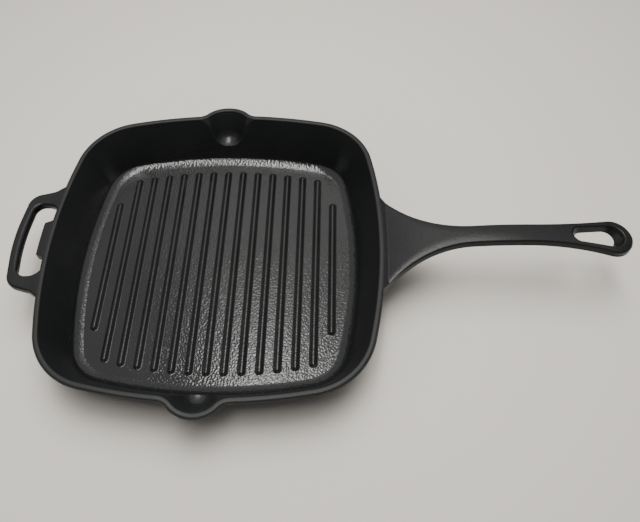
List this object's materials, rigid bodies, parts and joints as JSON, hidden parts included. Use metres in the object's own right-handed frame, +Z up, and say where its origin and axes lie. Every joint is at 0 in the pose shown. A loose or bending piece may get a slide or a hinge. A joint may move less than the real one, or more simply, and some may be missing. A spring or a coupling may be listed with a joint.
{
  "type": "grill pan",
  "caption": "Square cast-iron grill pan with bowed sides, ribbed floor, a pouring spout on each side, an arched long handle with a hanging hole, and a helper loop.",
  "frame": {"origin": "middle of the flat underside of the pan, on the surface that it stands on", "axes": "+X along the long handle, +Y towards the far spout, +Z up out of the pan"},
  "size_m": [0.4778, 0.291, 0.0561],
  "materials": {
    "cast_iron": "matte to satin black seasoned iron with a fine pebbled sand-cast skin"
  },
  "bodies": {
    "root": {"pan_floor": "cast_iron", "pan_wall": "cast_iron", "spout_far": "cast_iron", "spout_near": "cast_iron", "long_handle": "cast_iron", "helper_handle": "cast_iron", "gate_lug": "cast_iron", "rib_01": "cast_iron", "rib_02": "cast_iron", "rib_03": "cast_iron", "rib_04": "cast_iron", "rib_05": "cast_iron", "rib_06": "cast_iron", "rib_07": "cast_iron", "rib_08": "cast_iron", "rib_09": "cast_iron", "rib_10": "cast_iron", "rib_11": "cast_iron", "rib_12": "cast_iron", "rib_13": "cast_iron", "rib_14": "cast_iron", "rib_15": "cast_iron"}
  },
  "joints": []
}
